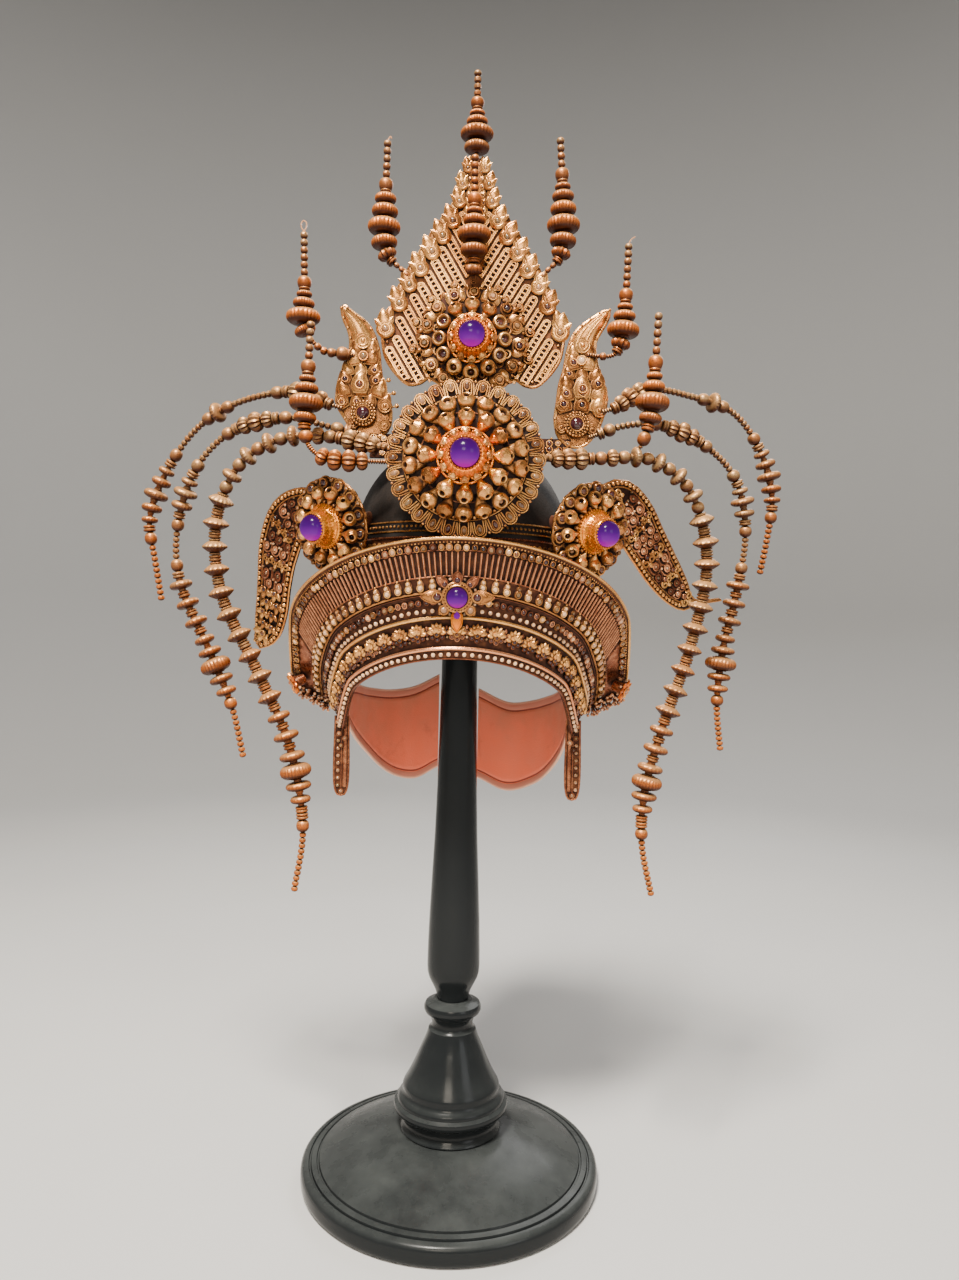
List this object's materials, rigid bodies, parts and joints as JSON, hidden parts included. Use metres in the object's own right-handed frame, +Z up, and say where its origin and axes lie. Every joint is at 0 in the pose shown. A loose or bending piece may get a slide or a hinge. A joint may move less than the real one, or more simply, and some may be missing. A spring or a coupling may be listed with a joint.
{
  "type": "apsara crown on display stand",
  "caption": "Dance crown with a fluted diadem, jewelled medallions, a tall leaf panel, bead spires and drooping bead strings, held on a turned stand.",
  "frame": {"origin": "centre of the underside of the stand's round base, on the surface that it stands on", "axes": "+Z up along the stand's pole, -Y out through the brow of the crown, +X to the viewer's right when looking at the front"},
  "size_m": [0.4282, 0.2329, 0.7361],
  "materials": {
    "antique_gold": "aged gilt metal with dark recesses",
    "copper_gold": "reddish aged gilt metal",
    "bright_gold": "bright orange gilt",
    "gilt_bead": "turned beads under worn gilding",
    "violet_stone": "polished violet cabochon",
    "dark_bronze": "plain dark lining of the crown",
    "leather": "salmon coloured leather with paler cut edges",
    "black_lacquer": "turned wood under black lacquer, slightly dusty"
  },
  "bodies": {
    "root": {"cap_hoop": "copper_gold", "cap_shell": "dark_bronze", "centre_cup": "bright_gold", "centre_gem": "violet_stone", "centre_inner_tier": "antique_gold", "centre_middle_tier": "antique_gold", "centre_outer_tier": "antique_gold", "diadem_band": "copper_gold", "flame_left": "antique_gold", "flame_right": "antique_gold", "flame_rosette_left": "antique_gold", "flame_rosette_right": "antique_gold", "front_star": "antique_gold", "front_star_gem": "violet_stone", "panel": "antique_gold", "side_cup_left": "bright_gold", "side_cup_right": "bright_gold", "side_floret_left": "antique_gold", "side_floret_right": "antique_gold", "side_gem_left": "violet_stone", "side_gem_right": "violet_stone", "side_tier_left": "antique_gold", "side_tier_right": "antique_gold", "spire_front": "gilt_bead", "spire_inner_left": "gilt_bead", "spire_inner_right": "gilt_bead", "spire_middle_left": "gilt_bead", "spire_middle_right": "gilt_bead", "spire_outer_left": "gilt_bead", "spire_outer_right": "gilt_bead", "spire_top": "gilt_bead", "stand_base": "black_lacquer", "stand_foot": "black_lacquer", "stand_pole": "black_lacquer", "strap_left": "leather", "strap_right": "leather", "string_inner_left_1": "gilt_bead", "string_inner_left_2": "gilt_bead", "string_inner_left_3": "gilt_bead", "string_inner_right_1": "gilt_bead", "string_inner_right_2": "gilt_bead", "string_inner_right_3": "gilt_bead", "string_middle_left_1": "gilt_bead", "string_middle_left_2": "gilt_bead", "string_middle_left_3": "gilt_bead", "string_middle_right_1": "gilt_bead", "string_middle_right_2": "gilt_bead", "string_middle_right_3": "gilt_bead", "string_outer_left_1": "gilt_bead", "string_outer_left_2": "gilt_bead", "string_outer_left_3": "gilt_bead", "string_outer_right_1": "gilt_bead", "string_outer_right_2": "gilt_bead", "string_outer_right_3": "gilt_bead", "upper_cup": "bright_gold", "upper_gem": "violet_stone", "upper_inner_tier": "antique_gold", "upper_outer_tier": "antique_gold", "wing_left": "antique_gold", "wing_right": "antique_gold"}
  },
  "joints": []
}
